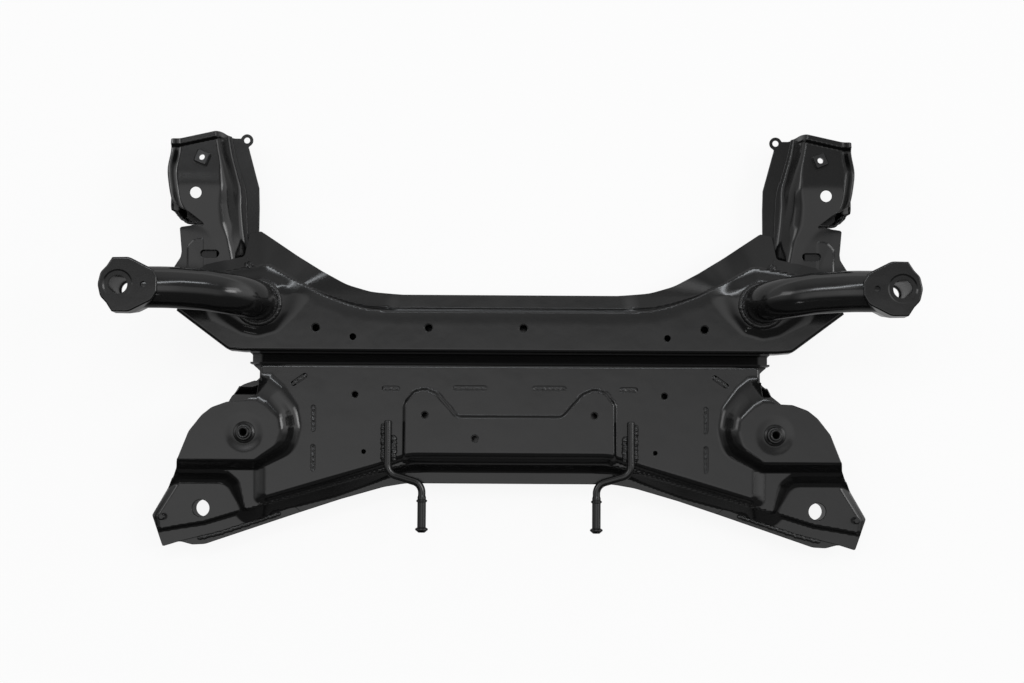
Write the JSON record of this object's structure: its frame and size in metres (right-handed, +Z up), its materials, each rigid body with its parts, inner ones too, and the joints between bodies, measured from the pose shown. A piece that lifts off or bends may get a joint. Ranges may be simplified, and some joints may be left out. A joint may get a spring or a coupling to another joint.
{
  "type": "front axle subframe",
  "caption": "Pressed and welded steel front axle subframe with bent arm tubes, horns, bush domes, rear legs and exhaust hanger rods.",
  "frame": {"origin": "centre of the bounding box at the underside, on the mirror plane of the pressings", "axes": "+X to the vehicle's right, +Y to its front, +Z up"},
  "size_m": [0.8844, 0.4686, 0.174],
  "materials": {
    "fastener_paint": "semi-gloss black dip paint over turned steel",
    "sheet_paint": "gloss black dip paint over pressed steel",
    "tube_paint": "gloss black dip paint over drawn steel",
    "weld_paint": "gloss black dip paint over weld beads"
  },
  "bodies": {
    "root": {"arm_bush_ears_left": "sheet_paint", "arm_bush_ears_right": "sheet_paint", "arm_bush_nut_left": "fastener_paint", "arm_bush_nut_right": "fastener_paint", "arm_end_cap_left": "sheet_paint", "arm_end_cap_right": "sheet_paint", "arm_end_pan_left": "sheet_paint", "arm_end_pan_right": "sheet_paint", "arm_end_sleeve_left": "fastener_paint", "arm_end_sleeve_right": "fastener_paint", "arm_tube_left": "tube_paint", "arm_tube_right": "tube_paint", "centre_channel": "sheet_paint", "cross_stiffener": "sheet_paint", "flange_seam_weld_left": "weld_paint", "flange_seam_weld_right": "weld_paint", "front_arm_bracket_left": "sheet_paint", "front_arm_bracket_right": "sheet_paint", "front_upper_panel": "sheet_paint", "hanger_rod_left": "tube_paint", "hanger_rod_right": "tube_paint", "hanger_welds_left": "weld_paint", "hanger_welds_right": "weld_paint", "leg_pin_left": "fastener_paint", "leg_pin_right": "fastener_paint", "lower_panel": "sheet_paint", "plateau_weld_nuts": "fastener_paint", "pocket_bulkhead_left": "sheet_paint", "pocket_bulkhead_right": "sheet_paint", "rack_weld_nuts": "fastener_paint", "rear_mount_sleeve_left": "fastener_paint", "rear_mount_sleeve_right": "fastener_paint", "rear_upper_panel": "sheet_paint", "shield_weld_nuts": "fastener_paint", "slot_welds": "weld_paint", "tower_base_welds": "weld_paint", "tower_nut_left": "fastener_paint", "tower_nut_right": "fastener_paint", "tower_shell_left": "sheet_paint", "tower_shell_right": "sheet_paint", "tower_tray_left": "sheet_paint", "tower_tray_right": "sheet_paint", "tube_foot_welds": "weld_paint"}
  },
  "joints": []
}
